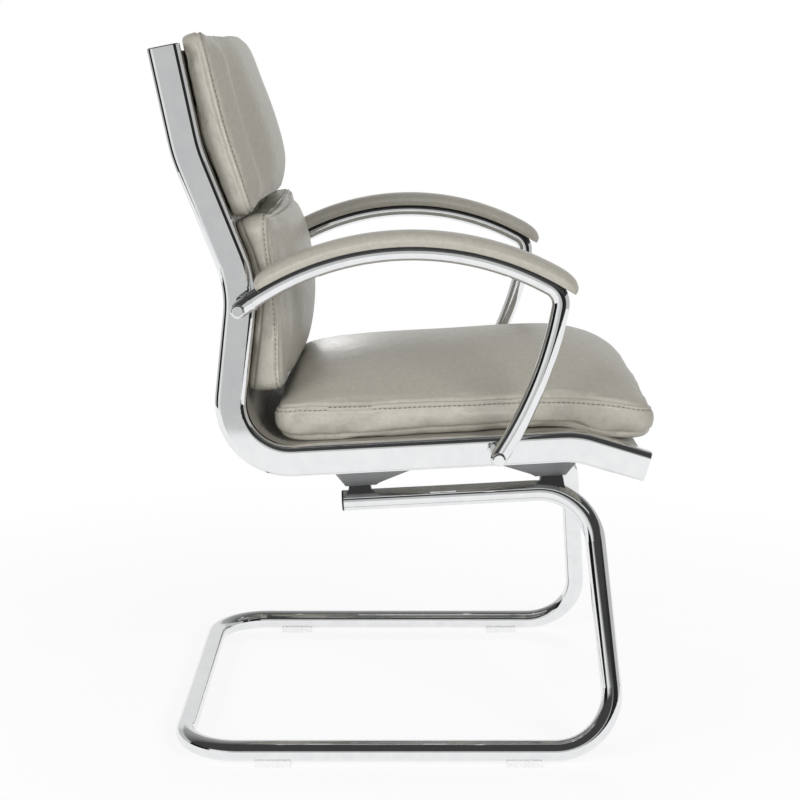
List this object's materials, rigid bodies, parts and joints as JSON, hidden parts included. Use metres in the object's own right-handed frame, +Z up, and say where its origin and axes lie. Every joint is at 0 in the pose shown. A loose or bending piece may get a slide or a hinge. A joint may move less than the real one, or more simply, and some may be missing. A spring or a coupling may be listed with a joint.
{
  "type": "visitor chair",
  "caption": "Cantilever visitor chair: bent chrome sled base, chrome side rails, padded grey leatherette seat and back cushions, arched tubular arms with soft pads.",
  "frame": {"origin": "on the floor, under the middle of the chair's bounding box", "axes": "+Z up, the sitter faces -Y, the sitter's left is +X"},
  "size_m": [0.644, 0.6329, 0.95],
  "materials": {
    "chrome": "polished chrome plate",
    "grey_steel": "grey powder coat",
    "zinc_hardware": "zinc plate",
    "black_steel": "satin black powder coat",
    "black_plastic": "satin black",
    "clear_plastic": "clear moulded plastic",
    "grey_leather": "soft grained warm grey leatherette",
    "plywood": "raw plywood",
    "foam": "cut foam",
    "grey_lining": "grey non-woven cloth"
  },
  "bodies": {
    "root": {"sled_base": "chrome", "base_end_caps": "black_plastic", "floor_glides_front": "clear_plastic", "floor_glides_rear": "clear_plastic", "base_posts_front": "black_steel", "base_posts_rear": "black_steel", "base_bolts": "zinc_hardware", "base_saddle_washers": "zinc_hardware", "base_nuts": "zinc_hardware", "spreader_front": "grey_steel", "spreader_rear": "grey_steel", "spreader_bolts": "zinc_hardware", "side_rail_left": "chrome", "side_rail_right": "chrome", "rail_top_caps": "chrome", "rail_front_caps": "chrome", "panel_tabs_left": "chrome", "panel_tabs_right": "chrome", "panel_screws": "zinc_hardware", "seat_panel_core": "plywood", "seat_panel_skin": "grey_leather", "back_panel_core": "plywood", "back_panel_skin": "grey_leather", "seat_lining": "grey_lining", "seat_foam": "foam", "seat_cover": "grey_leather", "lumbar_foam": "foam", "lumbar_cover": "grey_leather", "upper_foam": "foam", "upper_cover": "grey_leather", "arm_left": "chrome", "arm_right": "chrome", "arm_collars": "chrome", "arm_washers": "chrome", "arm_bolts": "zinc_hardware", "arm_pad_left": "grey_leather", "arm_pad_right": "grey_leather", "arm_pad_strip_left": "plywood", "arm_pad_strip_right": "plywood", "arm_pad_screws": "zinc_hardware"}
  },
  "joints": []
}
